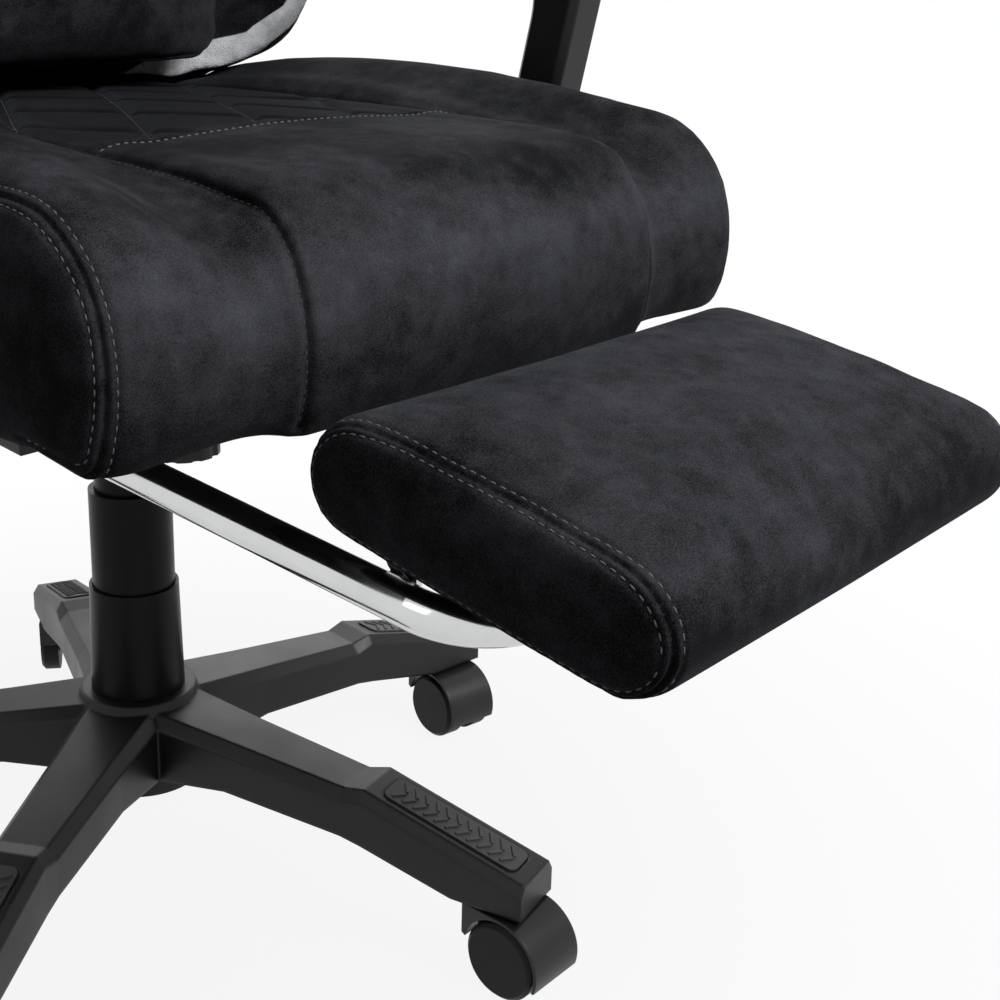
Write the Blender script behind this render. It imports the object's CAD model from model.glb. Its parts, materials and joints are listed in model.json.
# %% [markdown]
# # Reclining gaming chair with a slide-out footrest
# The chair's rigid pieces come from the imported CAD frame. This lesson dresses them:
# soft covers made from the foam blocks, threads sewn into the covers, and finishes.

# %% Load the frame
import json
import math
import bpy
import numpy as np
from mathutils import Matrix, Vector
from mathutils.bvhtree import BVHTree
from mathutils.kdtree import KDTree


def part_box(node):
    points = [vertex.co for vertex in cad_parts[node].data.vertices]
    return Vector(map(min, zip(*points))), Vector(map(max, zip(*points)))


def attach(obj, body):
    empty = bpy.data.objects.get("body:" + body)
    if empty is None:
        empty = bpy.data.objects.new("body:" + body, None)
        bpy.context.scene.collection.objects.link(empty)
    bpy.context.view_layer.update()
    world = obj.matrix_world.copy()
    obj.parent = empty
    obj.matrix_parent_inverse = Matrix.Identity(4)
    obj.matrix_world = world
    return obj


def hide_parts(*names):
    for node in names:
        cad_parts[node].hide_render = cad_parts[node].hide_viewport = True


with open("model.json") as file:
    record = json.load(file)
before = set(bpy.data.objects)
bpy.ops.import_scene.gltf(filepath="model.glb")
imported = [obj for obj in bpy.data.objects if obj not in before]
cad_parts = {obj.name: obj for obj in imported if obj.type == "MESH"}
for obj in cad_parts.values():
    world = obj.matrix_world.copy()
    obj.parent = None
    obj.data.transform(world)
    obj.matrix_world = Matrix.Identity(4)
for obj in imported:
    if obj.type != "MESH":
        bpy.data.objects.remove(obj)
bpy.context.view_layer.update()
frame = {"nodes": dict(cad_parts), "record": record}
nodes = frame["nodes"]
scene = bpy.context.scene
scene.view_settings.view_transform = "Standard"

# %% [markdown]
# ## Stage
# The object stands on a pale floor in an even white room. The floor glows for the camera,
# a little less near the chair, so that it reads as white while the soft shadows under the chair stay.

# %% Floor
bpy.ops.object.select_all(action="DESELECT")
bpy.ops.mesh.primitive_plane_add(size=40, location=(0, 0, 0))
floor = bpy.context.object
floor.name = "floor"
print("floor is in place")


# %% Floor paint
def seen_rays(tree):
    # Rays that a viewer notices: straight from the camera, or by way of something shiny
    rays = tree.nodes.new("ShaderNodeLightPath")
    seen = tree.nodes.new("ShaderNodeMath")
    seen.operation = "MAXIMUM"
    tree.links.new(rays.outputs["Is Camera Ray"], seen.inputs[0])
    tree.links.new(rays.outputs["Is Glossy Ray"], seen.inputs[1])
    return rays, seen.outputs[0]


floor_grey = 0.22
near_chair, off_chair = 0.3, 0.9
near_glow, off_glow = 0.90, 1.0
floor_paint = bpy.data.materials.new("floor_paint")
floor_paint.use_nodes = True
tree = floor_paint.node_tree
paint = tree.nodes["Principled BSDF"]
paint.inputs["Base Color"].default_value = (floor_grey, floor_grey, floor_grey, 1)
paint.inputs["Roughness"].default_value = 0.9
paint.inputs["Specular IOR Level"].default_value = 0.0
glow = tree.nodes.new("ShaderNodeEmission")
glow.inputs["Color"].default_value = (1, 1, 1, 1)
rays, seen = seen_rays(tree)
place = tree.nodes.new("ShaderNodeTexCoord")
away = tree.nodes.new("ShaderNodeVectorMath")
away.operation = "LENGTH"
dimming = tree.nodes.new("ShaderNodeMapRange")
dimming.inputs["From Min"].default_value = near_chair
dimming.inputs["From Max"].default_value = off_chair
dimming.inputs["To Min"].default_value = near_glow
dimming.inputs["To Max"].default_value = off_glow
share = tree.nodes.new("ShaderNodeMath")
share.operation = "MULTIPLY"
mix = tree.nodes.new("ShaderNodeMixShader")
tree.links.new(place.outputs["Object"], away.inputs[0])
tree.links.new(away.outputs["Value"], dimming.inputs["Value"])
tree.links.new(seen, share.inputs[0])
tree.links.new(dimming.outputs["Result"], share.inputs[1])
tree.links.new(share.outputs[0], mix.inputs["Fac"])
tree.links.new(paint.outputs[0], mix.inputs[1])
tree.links.new(glow.outputs[0], mix.inputs[2])
tree.links.new(mix.outputs[0], tree.nodes["Material Output"].inputs["Surface"])
floor.data.materials.append(floor_paint)
print("floor painted")

# %% White room
room_light = 0.08
room = bpy.data.worlds.new("white_room")
scene.world = room
room.use_nodes = True
tree = room.node_tree
rays, seen = seen_rays(tree)
clear = tree.nodes.new("ShaderNodeMath")
clear.operation = "MAXIMUM"
strength = tree.nodes.new("ShaderNodeMapRange")
strength.inputs["To Min"].default_value = room_light
strength.inputs["To Max"].default_value = 1.0
tree.links.new(seen, clear.inputs[0])
tree.links.new(rays.outputs["Is Transmission Ray"], clear.inputs[1])
tree.links.new(clear.outputs[0], strength.inputs["Value"])
tree.nodes["Background"].inputs["Color"].default_value = (1, 1, 1, 1)
tree.links.new(strength.outputs["Result"], tree.nodes["Background"].inputs["Strength"])
print("white room is in place")

# %% [markdown]
# ## Light
# Product photographs of dark chairs use large soft boxes: a wide one overhead draws a pale
# line along each upper edge, a strong one in front lights the seat's roll and the footrest,
# a weak one keeps the near side from going black, and one behind glances off the base's arms.


# %% Soft boxes
def soft_box(name, place, target, size, watts):
    data = bpy.data.lights.new(name, "AREA")
    data.shape = "SQUARE"
    data.size = size
    data.energy = watts
    lamp = bpy.data.objects.new(name, data)
    scene.collection.objects.link(lamp)
    lamp.location = place
    aim = Vector(target) - Vector(place)
    lamp.rotation_euler = aim.to_track_quat("-Z", "Y").to_euler()
    return lamp


soft_box("overhead_box", (0.3, 0.2, 3.2), (0, -0.1, 0.4), 2.0, 20)
soft_box("front_box", (0.5, -2.3, 2.4), (0, -0.3, 0.45), 1.4, 125)
soft_box("side_box", (-2.6, 0.4, 2.2), (0, 0, 0.5), 1.2, 8)
soft_box("rear_box", (2.0, 1.7, 1.9), (0, -0.1, 0.15), 1.6, 22)
print("four soft boxes")

# %% [markdown]
# ## Camera
# The photograph is taken from the front right of the chair, a little above the seat, and
# cropped to the seat, footrest and base, so the lens is shifted instead of turned.

# %% Camera
lens = bpy.data.cameras.new("camera")
lens.sensor_width = 36
lens.lens = 55.15
lens.shift_x = 0.14
lens.shift_y = -0.09
lens.clip_end = 100
camera = bpy.data.objects.new("camera", lens)
scene.collection.objects.link(camera)
camera.location = (-0.6496, -0.8467, 0.6540)
camera.rotation_euler = (math.radians(73.74), 0, math.radians(-46.52))
scene.camera = camera
print("camera at", tuple(round(v, 3) for v in camera.location))

# %% [markdown]
# ## Finishes
# Several finishes share an effect: the mottled nap of suede, the fine grain of moulded
# plastic, the pebbles of leatherette. Each effect is a node group that gives masks and
# heights, and each material sets its own colours on its own shader.


# %% Node group helper
def effect_group(name, values, results):
    group = bpy.data.node_groups.new(name, "ShaderNodeTree")
    group.interface.new_socket("Vector", in_out="INPUT", socket_type="NodeSocketVector")
    for label, value in values:
        socket = group.interface.new_socket(label, in_out="INPUT", socket_type="NodeSocketFloat")
        socket.default_value = value
    for label in results:
        group.interface.new_socket(label, in_out="OUTPUT", socket_type="NodeSocketFloat")
    start = group.nodes.new("NodeGroupInput")
    end = group.nodes.new("NodeGroupOutput")
    return group, start, end


def noise_in(group, vector, scale, detail, rough):
    noise = group.nodes.new("ShaderNodeTexNoise")
    noise.inputs["Detail"].default_value = detail
    noise.inputs["Roughness"].default_value = rough
    group.links.new(vector, noise.inputs["Vector"])
    group.links.new(scale, noise.inputs["Scale"])
    return noise.outputs["Fac"]


def blend_in(group, first, second, share):
    mix = group.nodes.new("ShaderNodeMix")
    mix.inputs["Factor"].default_value = share
    group.links.new(first, mix.inputs["A"])
    group.links.new(second, mix.inputs["B"])
    return mix.outputs["Result"]


# %% Suede nap, moulded skin and pebbles
stroke_share, fibre_share, lay_share = 0.35, 0.42, 0.3
suede_nap, start, end = effect_group(
    "suede_nap", [("Patches", 11.0), ("Strokes", 70.0), ("Fibres", 1250.0)], ["Nap", "Height"]
)
patches = noise_in(suede_nap, start.outputs["Vector"], start.outputs["Patches"], 5, 0.6)
strokes = noise_in(suede_nap, start.outputs["Vector"], start.outputs["Strokes"], 4, 0.6)
fibres = noise_in(suede_nap, start.outputs["Vector"], start.outputs["Fibres"], 3, 0.6)
cloud = blend_in(suede_nap, patches, strokes, stroke_share)
suede_nap.links.new(blend_in(suede_nap, cloud, fibres, fibre_share), end.inputs["Nap"])
suede_nap.links.new(blend_in(suede_nap, fibres, strokes, lay_share), end.inputs["Height"])

moulded_skin, start, end = effect_group(
    "moulded_skin", [("Grain", 900.0), ("Rub", 14.0)], ["Height", "Rubbed"]
)
grain = noise_in(moulded_skin, start.outputs["Vector"], start.outputs["Grain"], 2, 0.5)
moulded_skin.links.new(grain, end.inputs["Height"])
rub = noise_in(moulded_skin, start.outputs["Vector"], start.outputs["Rub"], 5, 0.6)
moulded_skin.links.new(rub, end.inputs["Rubbed"])

pebbles, start, end = effect_group("pebbles", [("Cells", 520.0), ("Clouds", 26.0)], ["Height", "Cloud"])
cells = pebbles.nodes.new("ShaderNodeTexVoronoi")
cells.feature = "DISTANCE_TO_EDGE"
pebbles.links.new(start.outputs["Vector"], cells.inputs["Vector"])
pebbles.links.new(start.outputs["Cells"], cells.inputs["Scale"])
round_off = pebbles.nodes.new("ShaderNodeMapRange")
round_off.inputs["From Max"].default_value = 0.25
pebbles.links.new(cells.outputs["Distance"], round_off.inputs["Value"])
pebbles.links.new(round_off.outputs["Result"], end.inputs["Height"])
clouds = noise_in(pebbles, start.outputs["Vector"], start.outputs["Clouds"], 6, 0.65)
pebbles.links.new(clouds, end.inputs["Cloud"])
print("effects:", suede_nap.name, moulded_skin.name, pebbles.name)


# %% Material helpers
def new_material(name):
    made = bpy.data.materials.new(name)
    made.use_nodes = True
    shader = made.node_tree.nodes["Principled BSDF"]
    return made, made.node_tree, shader


def place_effect(tree, group, **values):
    place = tree.nodes.new("ShaderNodeTexCoord")
    effect = tree.nodes.new("ShaderNodeGroup")
    effect.node_tree = group
    tree.links.new(place.outputs["Object"], effect.inputs["Vector"])
    for label, value in values.items():
        effect.inputs[label].default_value = value
    return effect


def ramp(tree, value, low, high, dark, light):
    node = tree.nodes.new("ShaderNodeValToRGB")
    node.color_ramp.elements[0].position = low
    node.color_ramp.elements[1].position = high
    node.color_ramp.elements[0].color = (*dark, 1)
    node.color_ramp.elements[1].color = (*light, 1)
    tree.links.new(value, node.inputs["Fac"])
    return node.outputs["Color"]


def spread(tree, value, low, high, least, most):
    node = tree.nodes.new("ShaderNodeMapRange")
    node.inputs["From Min"].default_value = low
    node.inputs["From Max"].default_value = high
    node.inputs["To Min"].default_value = least
    node.inputs["To Max"].default_value = most
    tree.links.new(value, node.inputs["Value"])
    return node.outputs["Result"]


def bump(tree, height, distance, strength, shader, edge=0.0):
    node = tree.nodes.new("ShaderNodeBump")
    if edge:
        rounded = tree.nodes.new("ShaderNodeBevel")
        rounded.samples = 6
        rounded.inputs["Radius"].default_value = edge
        tree.links.new(rounded.outputs["Normal"], node.inputs["Normal"])
    node.inputs["Distance"].default_value = distance
    node.inputs["Strength"].default_value = strength
    tree.links.new(height, node.inputs["Height"])
    tree.links.new(node.outputs["Normal"], shader.inputs["Normal"])


def mix_colour(tree, share, first, second):
    node = tree.nodes.new("ShaderNodeMix")
    node.data_type = "RGBA"
    tree.links.new(share, node.inputs["Factor"])
    tree.links.new(first, node.inputs["A"])
    tree.links.new(second, node.inputs["B"])
    return node.outputs["Result"]


def mix_value(tree, share, first, second):
    node = tree.nodes.new("ShaderNodeMix")
    tree.links.new(share, node.inputs["Factor"])
    tree.links.new(first, node.inputs["A"])
    tree.links.new(second, node.inputs["B"])
    return node.outputs["Result"]


# %% [markdown]
# ### Charcoal suede
# Microfibre suede is almost black, with cloudy patches where the nap lies another way and a
# faint bluish sheen at grazing angles. Where legs brush the nap it turns lighter, and where it
# is sat flat darker: the covers of seat and footrest carry that as the attribute "brushed".
# The back cover also has a silver leatherette edge, read from its attribute "band".

# %% Suede and leatherette
suede_dark, suede_light = (0.0034, 0.0034, 0.0038), (0.057, 0.058, 0.066)
silver_dark, silver_light = (0.36, 0.367, 0.385), (0.80, 0.81, 0.83)
brush_lift = 0.15
nap_dark_at, nap_light_at = 0.45, 0.80
band_blur = 0.0008
nap_depth, nap_strength = 0.0008, 0.45


def suede_material(name, banded):
    made, tree, shader = new_material(name)
    nap = place_effect(tree, suede_nap)
    brushed = tree.nodes.new("ShaderNodeAttribute")
    brushed.attribute_name = "brushed"
    lift = tree.nodes.new("ShaderNodeMath")
    lift.operation = "MULTIPLY_ADD"
    lift.inputs[1].default_value = brush_lift
    tree.links.new(brushed.outputs["Fac"], lift.inputs[0])
    tree.links.new(nap.outputs["Nap"], lift.inputs[2])
    colour = ramp(tree, lift.outputs[0], nap_dark_at, nap_light_at, suede_dark, suede_light)
    rough = spread(tree, nap.outputs["Nap"], 0.3, 0.7, 0.92, 0.78)
    height = nap.outputs["Height"]
    if banded:
        mask = tree.nodes.new("ShaderNodeAttribute")
        mask.attribute_name = "band"
        edge = spread(tree, mask.outputs["Fac"], 0.0, band_blur, 0.0, 1.0)
        grain = place_effect(tree, pebbles)
        silver = ramp(tree, grain.outputs["Cloud"], 0.34, 0.66, silver_dark, silver_light)
        gloss = spread(tree, grain.outputs["Cloud"], 0.3, 0.7, 0.46, 0.34)
        colour = mix_colour(tree, edge, colour, silver)
        rough = mix_value(tree, edge, rough, gloss)
        height = mix_value(tree, edge, height, grain.outputs["Height"])
    tree.links.new(colour, shader.inputs["Base Color"])
    tree.links.new(rough, shader.inputs["Roughness"])
    shader.inputs["Specular IOR Level"].default_value = 0.03
    shader.inputs["Sheen Weight"].default_value = 0.03
    shader.inputs["Sheen Roughness"].default_value = 0.45
    shader.inputs["Sheen Tint"].default_value = (0.62, 0.66, 0.8, 1)
    bump(tree, height, nap_depth, nap_strength, shader)
    return made


suede = suede_material("charcoal_suede", False)
back_suede = suede_material("charcoal_suede_silver_edge", True)
print("suede:", suede.name, back_suede.name)

# %% [markdown]
# ### Plastics, rubber and metal
# Nylon mouldings have a fine spark-eroded grain, rub shiny in places and have slightly rounded
# edges. Chrome is a clean mirror with faint smudges, and zinc plated steel is duller.

# %% Rigid finishes
rubbed_lighter, smudged_darker = 1.5, 0.92
grain_strength = 0.3


def moulded(name, tone, least, most, shine, grain=900.0, depth=0.0002, edge=0.0):
    made, tree, shader = new_material(name)
    skin = place_effect(tree, moulded_skin, Grain=grain)
    lighter = tuple(rubbed_lighter * v for v in tone)
    colour = ramp(tree, skin.outputs["Rubbed"], 0.35, 0.7, tone, lighter)
    tree.links.new(colour, shader.inputs["Base Color"])
    rough = spread(tree, skin.outputs["Rubbed"], 0.3, 0.7, least, most)
    tree.links.new(rough, shader.inputs["Roughness"])
    shader.inputs["Specular IOR Level"].default_value = shine
    bump(tree, skin.outputs["Height"], depth, grain_strength, shader, edge)
    return made


def metal(name, colour, least, most, rub):
    made, tree, shader = new_material(name)
    skin = place_effect(tree, moulded_skin, Rub=rub)
    shader.inputs["Metallic"].default_value = 1.0
    smudged = tuple(smudged_darker * v for v in colour)
    tone = ramp(tree, skin.outputs["Rubbed"], 0.3, 0.7, colour, smudged)
    tree.links.new(tone, shader.inputs["Base Color"])
    rough = spread(tree, skin.outputs["Rubbed"], 0.3, 0.7, least, most)
    tree.links.new(rough, shader.inputs["Roughness"])
    return made


nylon = moulded("satin_nylon", (0.0055, 0.0055, 0.006), 0.36, 0.48, 0.27, edge=0.0035)
cover_plastic = moulded("column_cover_plastic", (0.0035, 0.0035, 0.0037), 0.3, 0.42, 0.10)
hood_plastic = moulded("caster_hood_plastic", (0.005, 0.005, 0.0053), 0.26, 0.38, 0.3, edge=0.0015)
wheel_plastic = moulded("caster_wheel_plastic", (0.0065, 0.0065, 0.0068), 0.42, 0.55, 0.16, edge=0.0015)
step_rubber = moulded("step_rubber", (0.042, 0.042, 0.045), 0.5, 0.62, 0.3, 500.0, 0.0003)
black_steel = moulded("black_painted_steel", (0.006, 0.006, 0.0063), 0.32, 0.45, 0.2, 1400.0, 0.0001)
arm_foam = moulded("armrest_foam", (0.008, 0.008, 0.0085), 0.5, 0.65, 0.2, 700.0, 0.0004)
plywood = moulded("black_lining", (0.010, 0.0098, 0.0095), 0.8, 0.95, 0.1, 300.0, 0.0004)
chrome = metal("chrome", (0.64, 0.645, 0.65), 0.09, 0.18, 30.0)
zinc = metal("zinc_plate", (0.58, 0.58, 0.6), 0.22, 0.4, 60.0)
slot_finish = {
    "nylon": nylon, "step_rubber": step_rubber, "hood_plastic": hood_plastic,
    "wheel_plastic": wheel_plastic, "cover_plastic": cover_plastic, "black_steel": black_steel,
    "steel": zinc, "chrome": chrome, "plywood": plywood, "suede": suede, "pad_foam": arm_foam,
}
for row in frame["record"]["subparts"]:
    piece = nodes[row["node"]]
    piece.data.materials.clear()
    piece.data.materials.append(slot_finish[row["material_slot"]])

# %% [markdown]
# ## Soft covers
# Each cover starts as a copy of its foam block. A voxel remesh gives it an even skin, a cloth
# simulation with a little air pressure fills it out, and one subdivision makes it fine enough
# for seams. The filling is capped, so that a cover stays close to its block.

# %% Mesh helpers
weld = 0.00002


def make_active(obj):
    bpy.ops.object.select_all(action="DESELECT")
    obj.select_set(True)
    bpy.context.view_layer.objects.active = obj


def apply_modifier(obj, kind, **values):
    modifier = obj.modifiers.new(kind.lower(), kind)
    for label, value in values.items():
        setattr(modifier, label, value)
    make_active(obj)
    bpy.ops.object.modifier_apply(modifier=modifier.name)


def block_copy(node, name):
    obj = nodes[node].copy()
    obj.data = obj.data.copy()
    for label in list(obj.keys()):
        del obj[label]
    obj.parent = None
    obj.matrix_world = Matrix.Identity(4)
    obj.name = name
    obj.data.name = name
    scene.collection.objects.link(obj)
    obj.data.materials.clear()
    make_active(obj)
    bpy.ops.object.mode_set(mode="EDIT")
    bpy.ops.mesh.select_all(action="SELECT")
    bpy.ops.mesh.remove_doubles(threshold=weld)
    bpy.ops.object.mode_set(mode="OBJECT")
    return obj


def join_copies(name, copies):
    bpy.ops.object.select_all(action="DESELECT")
    for copy in copies:
        copy.select_set(True)
    bpy.context.view_layer.objects.active = copies[0]
    bpy.ops.object.join()
    joined = bpy.context.object
    joined.name = name
    joined.data.name = name
    bpy.ops.object.transform_apply(location=True, rotation=True, scale=True)
    return joined


# %% Point helpers
def points_of(obj):
    flat = np.zeros(3 * len(obj.data.vertices))
    obj.data.vertices.foreach_get("co", flat)
    return flat.reshape(-1, 3)


def set_points(obj, points):
    obj.data.vertices.foreach_set("co", np.ascontiguousarray(points).ravel())
    obj.data.update()


def normals_of(obj):
    flat = np.zeros(3 * len(obj.data.vertices), np.float32)
    obj.data.vertex_normals.foreach_get("vector", flat)
    return flat.reshape(-1, 3)


def ease(value, start, run):
    # 0 up to the start and 1 after the run, which is negative where the value falls
    return np.clip((value - start) / run, 0, 1)


# %% Filling a cover
cloth_frames = 12
even_rounds = 16


def even_out(obj, field, rounds):
    ends = np.zeros(2 * len(obj.data.edges), np.int32)
    obj.data.edges.foreach_get("vertices", ends)
    ends = ends.reshape(-1, 2)
    count = np.bincount(ends.ravel(), minlength=len(field))[:, None]
    for turn in range(rounds):
        total = np.zeros_like(field)
        for axis in range(field.shape[1]):
            total[:, axis] += np.bincount(ends[:, 0], field[ends[:, 1], axis], len(field))
            total[:, axis] += np.bincount(ends[:, 1], field[ends[:, 0], axis], len(field))
        field = 0.5 * field + 0.5 * total / np.maximum(count, 1)
    return field


def fill_cover(obj, held, pressure, cap):
    rest = points_of(obj)
    group = obj.vertex_groups.new(name="held")
    group.add(np.nonzero(held(rest))[0].tolist(), 1.0, "REPLACE")
    cloth = obj.modifiers.new("cloth", "CLOTH")
    cloth.settings.quality = 3
    cloth.settings.mass = 0.3
    cloth.settings.tension_stiffness = 12
    cloth.settings.compression_stiffness = 12
    cloth.settings.shear_stiffness = 6
    cloth.settings.bending_stiffness = 0.5
    cloth.settings.use_pressure = True
    cloth.settings.uniform_pressure_force = pressure
    cloth.settings.effector_weights.gravity = 0
    cloth.settings.vertex_group_mass = "held"
    cloth.point_cache.frame_start = 1
    cloth.point_cache.frame_end = cloth_frames
    for step in range(1, cloth_frames + 1):
        scene.frame_set(step)
    make_active(obj)
    bpy.ops.object.modifier_apply(modifier=cloth.name)
    scene.frame_set(1)
    moved = points_of(obj) - rest
    reach = np.maximum(np.linalg.norm(moved, axis=1), 1e-9)
    moved *= np.minimum(1, cap / reach)[:, None]
    set_points(obj, rest + even_out(obj, moved, even_rounds))
    obj.vertex_groups.clear()
    return float(np.minimum(reach, cap).max())


def make_cover(node, name, voxel, relax, held, pressure, cap):
    obj = block_copy(node, name)
    apply_modifier(obj, "REMESH", mode="VOXEL", voxel_size=voxel)
    apply_modifier(obj, "SMOOTH", factor=0.5, iterations=relax)
    swelled = 0.0
    swelled = fill_cover(obj, held, pressure, cap)
    apply_modifier(obj, "SUBSURF", levels=1, render_levels=1)
    make_active(obj)
    bpy.ops.object.shade_smooth()
    print(name, len(obj.data.vertices), "points, swelled", round(1000 * swelled, 1), "mm")
    return obj


# %% [markdown]
# ### Sewing
# A seam is a path on the cover, found by casting rays outwards from inside the block. The skin
# is made finer along the narrow seams and then pressed in, and the thread is a row of small
# stitches, modelled once and copied.

# %% Paths on a cover
path_step = 0.0015


def skin_of(obj):
    return BVHTree.FromObject(obj, bpy.context.evaluated_depsgraph_get())


def cast_path(skin, starts, aims):
    path = []
    for start, aim in zip(starts, aims):
        place, normal, face, far = skin.ray_cast(Vector(start), Vector(aim).normalized())
        if place is not None:
            path.append((place, normal if normal.dot(Vector(aim)) > 0 else -normal))
    return path


def cast_again(skin, paths, back):
    # The same paths on a pressed cover: each point is cast again from a little inside
    return [cast_path(skin, [p - n * back for p, n in path], [n for p, n in path]) for path in paths]


def even_path(path, step):
    places = np.array([p for p, n in path])
    facing = np.array([n for p, n in path])
    along = np.concatenate([[0], np.cumsum(np.linalg.norm(np.diff(places, axis=0), axis=1))])
    marks = np.arange(0, along[-1], step)
    fine = np.stack([np.interp(marks, along, places[:, k]) for k in range(3)], 1)
    out = np.stack([np.interp(marks, along, facing[:, k]) for k in range(3)], 1)
    return fine, out / np.maximum(np.linalg.norm(out, axis=1), 1e-9)[:, None]


def tree_of(marks):
    tree = KDTree(len(marks))
    for index, mark in enumerate(marks):
        tree.insert(mark, index)
    tree.balance()
    return tree


def distance_to(points, paths):
    tree = tree_of(np.concatenate([even_path(path, path_step)[0] for path in paths]))
    return np.array([tree.find(p)[2] for p in points])


# %% Finer skin, brushed nap and pressed seams
def refine_near(obj, paths, reach):
    middles = np.zeros(3 * len(obj.data.polygons))
    obj.data.polygons.foreach_get("center", middles)
    near = distance_to(middles.reshape(-1, 3), paths) < reach
    make_active(obj)
    bpy.context.tool_settings.mesh_select_mode = (False, False, True)
    bpy.ops.object.mode_set(mode="EDIT")
    bpy.ops.mesh.select_all(action="DESELECT")
    bpy.ops.object.mode_set(mode="OBJECT")
    obj.data.polygons.foreach_set("select", near)
    bpy.ops.object.mode_set(mode="EDIT")
    bpy.ops.mesh.subdivide(number_cuts=1, smoothness=0)
    bpy.ops.object.mode_set(mode="OBJECT")


def brush_nap(obj, share):
    nap = obj.data.attributes.new("brushed", "FLOAT", "POINT")
    nap.data.foreach_set("value", share.astype(np.float32))


def press_seam(obj, paths, depth, width):
    points = points_of(obj)
    far = distance_to(points, paths)
    set_points(obj, points - normals_of(obj) * (depth * np.exp(-((far / width) ** 2)))[:, None])


# %% Thread
thread_grain = 2500.0
thread_blue = 1.06
bpy.ops.object.select_all(action="DESELECT")
bpy.ops.mesh.primitive_uv_sphere_add(segments=6, ring_count=4, radius=1)
stitch = bpy.context.object
stitch.name = "one_stitch"


def thread_material(name, dark, light):
    made, tree, shader = new_material(name)
    twist = place_effect(tree, moulded_skin, Grain=thread_grain)
    low, high = (dark, dark, thread_blue * dark), (light, light, thread_blue * light)
    tone = ramp(tree, twist.outputs["Height"], 0.3, 0.7, low, high)
    tree.links.new(tone, shader.inputs["Base Color"])
    shader.inputs["Roughness"].default_value = 0.8
    return made


grey_thread = thread_material("grey_thread", 0.04, 0.09)
dark_thread = thread_material("dark_thread", 0.018, 0.04)


def sew_thread(name, paths, pitch, length, thick, lift, finish=grey_thread):
    size = Matrix.Diagonal((length / 2, thick / 2, thick / 2, 1))
    copies = []
    for path in paths:
        places, facing = even_path(path, pitch)
        for k in range(1, len(places) - 1):
            along = Vector(places[k + 1] - places[k - 1]).normalized()
            aside = Vector(facing[k]).cross(along).normalized()
            out = along.cross(aside)
            turn = Matrix((along, aside, out)).transposed().to_4x4()
            copy = stitch.copy()
            copy.data = stitch.data.copy()
            copy.matrix_world = Matrix.Translation(Vector(places[k]) + out * lift) @ turn @ size
            scene.collection.objects.link(copy)
            copies.append(copy)
    thread = join_copies(name, copies)
    thread.data.materials.append(finish)
    bpy.ops.object.shade_smooth()
    print(name, len(copies), "stitches")
    return thread


# %% [markdown]
# ### Seat cover
# The seat has a centre panel between two bolsters, a cross seam with a diamond-quilted field
# behind it, and a side panel joined by a felled seam with two rows of thread. In front of the
# board the cloth is drawn down over the edge, so the hem hangs a little lower than the block.

# %% Seat cover
seat_held = 0.004
seat_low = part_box("seat_cushion")[0]
seat_cover = make_cover(
    "seat_cushion", "seat_cover", voxel=0.006, relax=4,
    held=lambda p: p[:, 2] < seat_low.z + seat_held, pressure=4.0, cap=0.007,
)
hem_drop = 0.009
hem_rear, hem_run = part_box("seat_board")[0].y + 0.012, 0.05
hem_top, hem_height = 0.515, 0.07
points = points_of(seat_cover)
hem = ease(points[:, 1], hem_rear, -hem_run) * ease(points[:, 2], hem_top, -hem_height)
set_points(seat_cover, points - np.outer(hem_drop * hem, (0, 0, 1)))


# %% Felled seams
def felled_rows(skin, x, side, profile, inset, leans):
    # Rows round a panel's rim: from inside each profile point, a ray leans out to the side
    rows = []
    for lean in leans:
        tilt = math.radians(lean)
        starts, aims = [], []
        for place, normal in profile:
            flat = Vector((0, normal.y, normal.z)).normalized()
            starts.append(Vector((x, place.y, place.z)) - flat * inset)
            aims.append(flat * math.cos(tilt) + Vector((side, 0, 0)) * math.sin(tilt))
        rows.append(cast_path(skin, starts, aims))
    return rows


def joint_lines(rims):
    # The middle row of each rim, where two panels meet
    return [rows[1] for rows in rims]


def thread_lines(rims):
    # The outer rows of each rim, where the thread lies
    return [row for rows in rims for row in (rows[0], rows[2])]


def press_felled(obj, rims):
    press_seam(obj, joint_lines(rims), depth=0.0024, width=0.0016)
    press_seam(obj, thread_lines(rims), depth=0.0010, width=0.0016)


# %% Seams of the seat
sides = (1, -1)
seam_x = 0.148
rim_x, rim_row_x = 0.246, 0.250
quilt_front = -0.170
seat_middle_y, seat_middle_z = -0.06, 0.50
seam_points, cross_points = 260, 90
seat_skin = skin_of(seat_cover)


def round_seat(x, first, last):
    turns = np.radians(np.linspace(first, last, seam_points))
    starts = [(x, seat_middle_y, seat_middle_z)] * seam_points
    return cast_path(seat_skin, starts, [(0, math.cos(t), math.sin(t)) for t in turns])


def up_from(marks):
    starts = [(x, y, seat_middle_z) for x, y in marks]
    return cast_path(seat_skin, starts, [(0, 0, 1)] * len(starts))


def across_seat(y):
    return up_from([(x, y) for x in np.linspace(-seam_x, seam_x, cross_points)])


centre_seams = [round_seat(side * seam_x, 16, 194) for side in sides]
cross_seam = [across_seat(quilt_front)]
rim_rows = [
    felled_rows(
        seat_skin, side * rim_row_x, side, round_seat(side * rim_x, 14, 197), inset=0.016, leans=(24, 46, 66)
    )
    for side in sides
]
print("seat seams:", len(centre_seams), "lengthwise, 1 across,", len(rim_rows), "felled rims")

# %% [markdown]
# ### Nap and stuffing of the seat
# Legs brush the nap of the front roll lighter, while the top where one sits, and the quilted
# field above all, lie flat and dark. Stuffing swells on both sides of a centre seam, more on
# the side of the bolster. Masks from place and direction tell where each of these happens.

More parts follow.
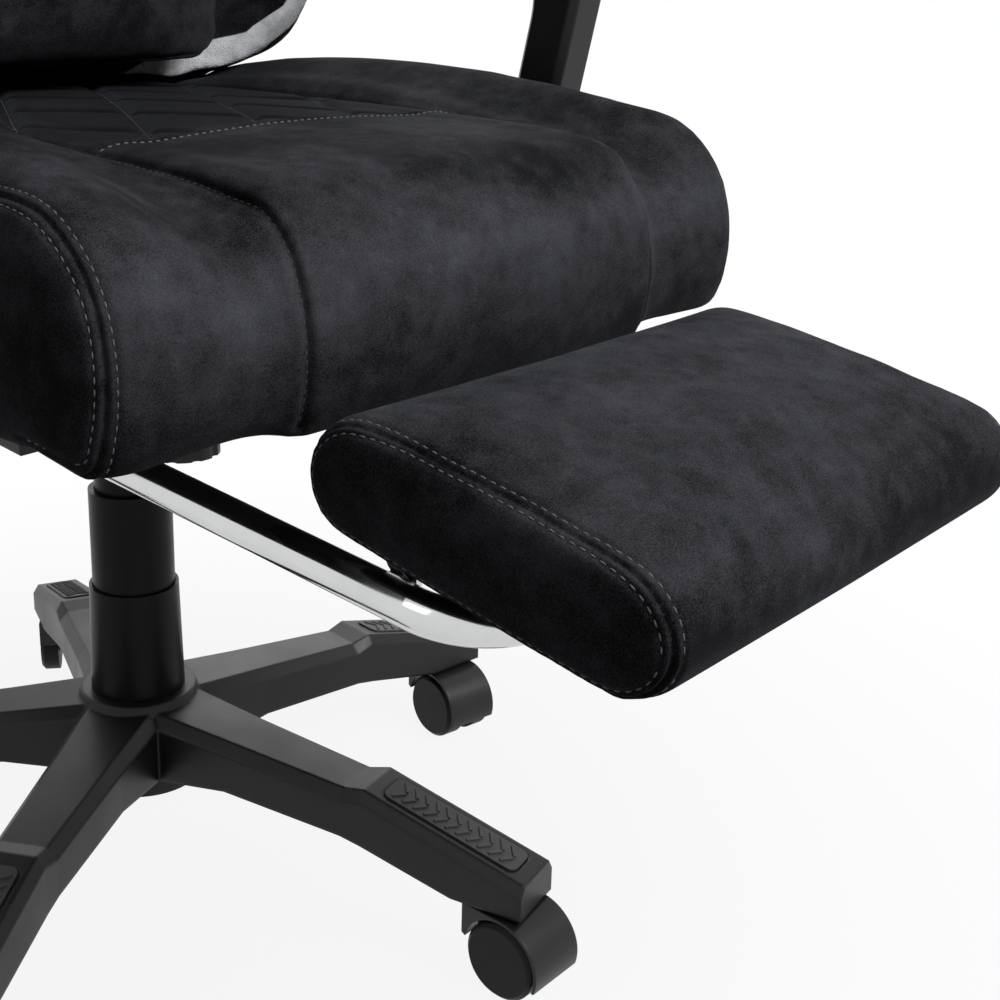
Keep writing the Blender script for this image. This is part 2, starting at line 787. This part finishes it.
# %% Nap and stuffing of the seat
bolster_nap, sat_nap, quilt_nap = 0.08, 0.25, 0.42
roll_foot, roll_run = 0.455, 0.06
sat_front, sat_run = -0.25, 0.12
quilt_fade = 0.015
refine_near(seat_cover, centre_seams + cross_seam, reach=0.012)
refine_near(seat_cover, joint_lines(rim_rows), reach=0.015)
points, facing = points_of(seat_cover), normals_of(seat_cover)
aside, upward = np.abs(points[:, 0]), facing[:, 2]
to_front = ease(upward, 0.82, -0.5) * np.clip(-1.6 * facing[:, 1], 0, 1)
to_front *= np.clip((points[:, 2] - roll_foot) / roll_run, -0.3, 1)
on_bolster = ease(aside, seam_x, 0.02) * np.clip(2 * upward, 0, 1)
off_side = np.clip(1.5 - 1.4 * np.abs(facing[:, 0]), 0, 1)
sat_flat = np.clip(2 * upward - 0.9, 0, 1) * ease(points[:, 1], sat_front, sat_run)
in_quilt = ease(points[:, 1], quilt_front, quilt_fade)
in_quilt *= ease(aside, seam_x, -quilt_fade) * np.clip(2 * upward, 0, 1)
lighter = (to_front + bolster_nap * on_bolster) * off_side
brush_nap(seat_cover, lighter - sat_nap * sat_flat - quilt_nap * in_quilt)


def swell(gap, rise, off, width):
    return rise * np.exp(-(((gap - off) / width) ** 2))


beside = aside - seam_x
plump = swell(beside, 0.004, 0.016, 0.013) + swell(beside, 0.002, -0.018, 0.014)
plump *= np.clip(2 * upward - 0.4, 0, 1)
set_points(seat_cover, points + facing * plump[:, None])
print("seat stuffed by up to", round(1000 * float(plump.max()), 1), "mm beside its seams")

# %% [markdown]
# ### Quilting
# Two families of slanting lines are sewn through the padding, and the cloth between them
# stands up in diamonds. Each point is pressed in by its distance to the nearest line.

# %% Quilting on the seat
quilt_pitch = 0.084
quilt_slope = 0.6
quilt_least_z = 0.52


def quilt_press(sideways, lengthwise, depth, width):
    # Distance to the nearest of two crossing families of sewn lines
    near = np.full(len(sideways), 1.0)
    for sign in (1, -1):
        run = (sideways + sign * lengthwise * quilt_slope) / quilt_pitch
        gap = np.abs((run + 0.5) % 1 - 0.5) * quilt_pitch * math.cos(math.atan(quilt_slope))
        near = np.minimum(near, gap)
    return depth * np.exp(-((near / width) ** 2))


points = points_of(seat_cover)
behind = ease(points[:, 1], quilt_front, 0.02)
between = ease(np.abs(points[:, 0]), seam_x, -0.012)
press = quilt_press(points[:, 0], points[:, 1], depth=0.0034, width=0.0048) * behind * between
press = np.where(points[:, 2] > quilt_least_z, press, 0)
set_points(seat_cover, points - normals_of(seat_cover) * press[:, None])
press_seam(seat_cover, centre_seams, depth=0.0036, width=0.0030)
press_seam(seat_cover, cross_seam, depth=0.0026, width=0.0030)
press_felled(seat_cover, rim_rows)
seat_cover.data.materials.append(suede)
print("seat quilted", round(1000 * float(press.max()), 1), "mm deep")

# %% Seat thread
quilt_rear = 0.12
quilt_margin, seam_margin = 0.006, 0.004
quilt_numbers = range(-8, 9)
line_points, least_points = 120, 4
top_stitch_gap = 0.0055
seat_skin = skin_of(seat_cover)


def quilt_lines():
    found = []
    xs = np.linspace(-seam_x + quilt_margin, seam_x - quilt_margin, line_points)
    for sign in (1, -1):
        for number in quilt_numbers:
            line = [(x, sign * (number * quilt_pitch - x) / quilt_slope) for x in xs]
            path = up_from([(x, y) for x, y in line if quilt_front + seam_margin < y < quilt_rear])
            if len(path) > least_points:
                found.append(path)
    return found


seat_thread = sew_thread(
    "seat_rim_thread", cast_again(seat_skin, thread_lines(rim_rows), back=0.01),
    pitch=0.0056, length=0.0038, thick=0.0010, lift=0.0,
)
seam_thread = sew_thread(
    "seat_seam_thread", [across_seat(quilt_front - top_stitch_gap)],
    pitch=0.0056, length=0.0036, thick=0.0011, lift=0.0003,
)
quilt_thread = sew_thread(
    "seat_quilt_thread", quilt_lines() + cast_again(seat_skin, centre_seams, back=0.01),
    pitch=0.0050, length=0.0034, thick=0.0008, lift=-0.0001, finish=dark_thread,
)
for piece in (seat_cover, seat_thread, seam_thread, quilt_thread):
    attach(piece, "seat")
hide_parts("seat_cushion")

# %% [markdown]
# ### Footrest cover
# The footrest is a flat pad with round front and rear edges. Its two ends are separate panels,
# joined by the same felled seam as the seat's sides.

# %% Footrest cover
pad_tilt = math.radians(11.2)
pad_ahead = Vector((0, -math.cos(pad_tilt), -math.sin(pad_tilt)))
pad_up = Vector((0, -math.sin(pad_tilt), math.cos(pad_tilt)))
pad_rear = Vector((0, -0.384, 0.424))
pad_middle = pad_rear + pad_ahead * 0.075
pad_under, pad_held = 0.031, 0.002


def above_pad(points):
    return (points - np.array(pad_rear)) @ np.array(pad_up)


footrest_cover = make_cover(
    "footrest_pad", "footrest_cover", voxel=0.005, relax=3,
    held=lambda p: above_pad(p) < pad_held - pad_under, pressure=4.0, cap=0.005,
)

# %% Seams and thread of the footrest
pad_rim_x, pad_row_x = 0.150, 0.158
pad_points = 240
foot_skin = skin_of(footrest_cover)


def round_pad(x):
    turns = np.linspace(0, 2 * math.pi, pad_points)
    starts = [Vector((x, pad_middle.y, pad_middle.z))] * pad_points
    return cast_path(foot_skin, starts, [pad_ahead * math.cos(t) + pad_up * math.sin(t) for t in turns])


pad_rows = [
    felled_rows(
        foot_skin, side * pad_row_x, side, round_pad(side * pad_rim_x), inset=0.012, leans=(20, 44, 66)
    )
    for side in sides
]
refine_near(footrest_cover, joint_lines(pad_rows), reach=0.014)
facing = normals_of(footrest_cover)
off_end = np.clip(1.2 - 1.3 * np.abs(facing[:, 0]), 0, 1)
brush_nap(footrest_cover, off_end * np.clip(0.55 * facing[:, 2] - 0.1, -0.5, 1))
press_felled(footrest_cover, pad_rows)
footrest_cover.data.materials.append(suede)
foot_skin = skin_of(footrest_cover)
footrest_thread = sew_thread(
    "footrest_rim_thread", cast_again(foot_skin, thread_lines(pad_rows), back=0.008),
    pitch=0.0056, length=0.0038, thick=0.0010, lift=0.0,
)
for piece in (footrest_cover, footrest_thread):
    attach(piece, "footrest_flap")
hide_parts("footrest_pad")

# %% [markdown]
# ### Back cover
# The back leans by 12 degrees, so its cells work in its own directions: across, to the rear and
# up the back. The cloth at its foot is drawn down until it nearly rests on the seat, so that no
# light shows between the two: a ray from each low point tells how far the seat is.

# %% Back cover
lean = math.radians(12)
back_foot = np.array((0, 0.150, 0.570))
lean_up = np.array((0, math.sin(lean), math.cos(lean)))
lean_rear = np.array((0, math.cos(lean), -math.sin(lean)))
across = np.array((1, 0, 0))
back_held = 0.05


def up_the_back(points):
    return (points - back_foot) @ lean_up


def into_back(points):
    return (points - back_foot) @ lean_rear


def in_back(x, depth, height):
    return Vector(back_foot + across * x + lean_rear * depth + lean_up * height)


back_cover = make_cover(
    "backrest_cushion", "back_cover", voxel=0.0065, relax=4,
    held=lambda p: into_back(p) > back_held, pressure=4.0, cap=0.007,
)

# %% Foot of the back
foot_zone = 0.07
most_drop, free_drop = 0.05, 0.012
drop_share, drop_rounds = 0.92, 6
points = points_of(back_cover)
high = up_the_back(points)
drop = np.zeros(len(points))
for k in np.nonzero(high < foot_zone)[0]:
    place, normal, face, far = seat_skin.ray_cast(Vector(points[k]), Vector((0, 0, -1)))
    reach = free_drop if place is None else min(far, most_drop)
    drop[k] = reach * (1 - max(high[k], 0) / foot_zone) ** 2
drop = drop_share * even_out(back_cover, drop[:, None], drop_rounds)
set_points(back_cover, points - np.outer(drop, (0, 0, 1)))
back_skin = skin_of(back_cover)
print("foot of the back drawn down by up to", round(1000 * float(drop.max()), 1), "mm")

# %% Seams of the back
back_heights = np.array((0, 25, 75, 220, 400, 520, 640, 745)) / 1000
back_widths = np.array((204, 250, 284, 290, 266, 224, 172, 122)) / 1000
back_panels = np.array((118, 128, 138, 146, 142, 128, 96, 62)) / 1000
rim_inset = 0.012
tip_points, tip_x = 20, 0.110
forward = Vector(-lean_rear)


def front_path(xs, heights):
    starts = [in_back(x, 0.0, h) for x, h in zip(xs, heights)]
    return cast_path(back_skin, starts, [forward] * len(starts))


panel_heights = np.linspace(0.012, 0.735, 200)
panel_xs = np.interp(panel_heights, back_heights, back_panels)
panel_seams = [front_path(side * panel_xs, panel_heights) for side in sides]
rim_heights = np.concatenate([np.linspace(-0.004, 0.006, tip_points), np.linspace(0.01, 0.738, 240)])
rim_xs = np.interp(rim_heights, back_heights, back_widths) - rim_inset
rim_xs[:tip_points] = np.linspace(tip_x, rim_xs[tip_points], tip_points)
rims = [front_path(side * rim_xs, rim_heights) for side in sides]
print("back seams:", len(panel_seams), "along the panel,", len(rims), "along the rims")

# %% [markdown]
# ### Silver edge
# A leatherette edge runs along the rims of the wings and tapers to a point at the foot. The
# cover carries the distance inside that edge as the attribute "band", which its material
# reads, and both borders of the edge are pressed in as seams.

# %% Silver edge
edge_half, edge_taper = 0.0125, 0.04
edge_step = 0.002
border_depth, border_width = 0.0022, 0.0025
points = points_of(back_cover)
inside = np.full(len(points), -1.0)
for rim in rims:
    rim_tree = tree_of(even_path(rim, edge_step)[0])
    for k, place in enumerate(points):
        mark, index, far = rim_tree.find(place)
        inside[k] = max(inside[k], edge_half * min(1.0, index * edge_step / edge_taper) - far)
band = back_cover.data.attributes.new("band", "FLOAT", "POINT")
band.data.foreach_set("value", inside.astype(np.float32))
border = border_depth * np.exp(-((inside / border_width) ** 2))
set_points(back_cover, points - normals_of(back_cover) * border[:, None])
print("silver edge on", int((inside > 0).sum()), "points")

# %% Quilting, seams and thread of the back
quilt_foot, quilt_top = 0.01, 0.34
panel_margin = 0.004
cross_height, cross_half, cross_count = 0.345, 0.14, 80
points = points_of(back_cover)
high = up_the_back(points)
panel = np.interp(high, back_heights, back_panels)
field = (into_back(points) < 0) & (np.abs(points[:, 0]) < panel - panel_margin)
field &= (high > quilt_foot) & (high < quilt_top)
press = np.where(field, quilt_press(points[:, 0], high, depth=0.0034, width=0.0050), 0)
set_points(back_cover, points - normals_of(back_cover) * press[:, None])
press_seam(back_cover, panel_seams, depth=0.0045, width=0.0050)
back_cross = [front_path(np.linspace(-cross_half, cross_half, cross_count), [cross_height] * cross_count)]
press_seam(back_cover, back_cross, depth=0.0030, width=0.0040)
back_cover.data.materials.append(back_suede)
back_skin = skin_of(back_cover)
back_thread = sew_thread(
    "back_seam_thread", cast_again(back_skin, panel_seams + back_cross, back=0.01),
    pitch=0.0062, length=0.0040, thick=0.0011, lift=0.0,
)
for piece in (back_cover, back_thread):
    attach(piece, "backrest")
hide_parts("backrest_cushion")

# %% [markdown]
# ### Pillows
# The lumbar and head pillows are stuffed bags with a corded edge. The cord is a thin tube
# that follows the filled bag's outline, seen square to the back.

# %% Pillows
cord_points, cord_radius = 240, 0.0024
back_face, pillow_held = -0.0333, -0.036


def corded_edge(name, skin, middle):
    turns = np.linspace(0, 2 * math.pi, cord_points, endpoint=False)
    aims = [Vector(across * math.cos(t) + lean_up * math.sin(t)) for t in turns]
    path = cast_path(skin, [middle] * cord_points, aims)
    line = bpy.data.curves.new(name, "CURVE")
    line.dimensions = "3D"
    line.bevel_depth = cord_radius
    line.bevel_resolution = 2
    spline = line.splines.new("POLY")
    spline.points.add(len(path) - 1)
    for point, (place, normal) in zip(spline.points, path):
        point.co = (*place, 1)
    spline.use_cyclic_u = True
    cord = bpy.data.objects.new(name, line)
    scene.collection.objects.link(cord)
    make_active(cord)
    bpy.ops.object.convert(target="MESH")
    bpy.ops.object.shade_smooth()
    return bpy.context.object


def make_pillow(node, name, foot, top, thick):
    cover = make_cover(
        node, name, voxel=0.005, relax=4,
        held=lambda p: into_back(p) > pillow_held, pressure=4.0, cap=0.012,
    )
    middle = in_back(0, back_face - thick / 2, (foot + top) / 2)
    edge = corded_edge(name + "_cord", skin_of(cover), middle)
    for piece in (cover, edge):
        piece.data.materials.append(suede)
        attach(piece, "backrest")
    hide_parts(node)


make_pillow("lumbar_pillow", "lumbar_cover", foot=-0.004, top=0.222, thick=0.092)
make_pillow("head_pillow", "head_cover", foot=0.560, top=0.690, thick=0.074)

# %% [markdown]
# ### Armrest pads
# Moulded foam pads have a slight crown and a soft edge, so the block is only lightly filled.

# %% Armrest pads
arm_held = 0.003
for hand in ("left", "right"):
    node = "armrest_pad_" + hand
    arm_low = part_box(node)[0]
    pad = make_cover(
        node, "armrest_cushion_" + hand, voxel=0.004, relax=3,
        held=lambda p: p[:, 2] < arm_low.z + arm_held, pressure=3.0, cap=0.003,
    )
    pad.data.materials.append(arm_foam)
    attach(pad, "seat")
    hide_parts(node)

# %% [markdown]
# ### Step pads
# The rubber pads on the base's arms carry raised slanted bars for grip, in pairs that point
# along the arm. One bar is modelled and copied along each of the five pads.

# %% One bar
bar_size = (0.0022, 0.0150, 0.0016)
bpy.ops.object.select_all(action="DESELECT")
bpy.ops.mesh.primitive_cube_add(size=1)
bar = bpy.context.object
bar.name = "one_bar"
bar.scale = bar_size
bpy.ops.object.transform_apply(scale=True)
apply_modifier(bar, "BEVEL", width=0.0005, segments=2)
bar.data.materials.append(step_rubber)
print("one bar:", len(bar.data.polygons), "faces")

# %% Bars on the step pads
first_arm, arm_count = -6.9, 5
pad_inner, pad_outer = 0.212, 0.335
inner_top, outer_top = 0.116, 0.084
arm_fall = (inner_top - outer_top) / (pad_outer - pad_inner)
pad_radius, pad_top = (pad_inner + pad_outer) / 2, (inner_top + outer_top) / 2
bar_pitch, bar_aside, bar_rise = 0.0085, 0.0052, 0.0015
bar_slant, bar_share = 0.6, 0.72
bars = []
for arm in range(arm_count):
    heading = math.radians(first_arm + 360 / arm_count * arm)
    out = Vector((math.cos(heading), math.sin(heading), -arm_fall)).normalized()
    side_way = Vector((-math.sin(heading), math.cos(heading), 0))
    top = out.cross(side_way)
    turn = Matrix((out, side_way, top)).transposed().to_4x4()
    middle = Vector((out.x, out.y, 0)).normalized() * pad_radius + Vector((0, 0, pad_top))
    for step in range(-5, 6):
        for side in sides:
            copy = bar.copy()
            copy.data = bar.data.copy()
            place = middle + top * bar_rise + out * (step * bar_pitch) + side_way * (side * bar_aside)
            slant = Matrix.Rotation(side * bar_slant, 4, "Z") @ Matrix.Diagonal((1, bar_share, 1, 1))
            copy.matrix_world = Matrix.Translation(place) @ turn @ slant
            scene.collection.objects.link(copy)
            bars.append(copy)
bpy.data.objects.remove(bar)
grip = join_copies("step_pad_bars", bars)
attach(grip, "base")
print(len(bars), "bars on", arm_count, "pads")

# %% Finish
bpy.data.objects.remove(stitch)
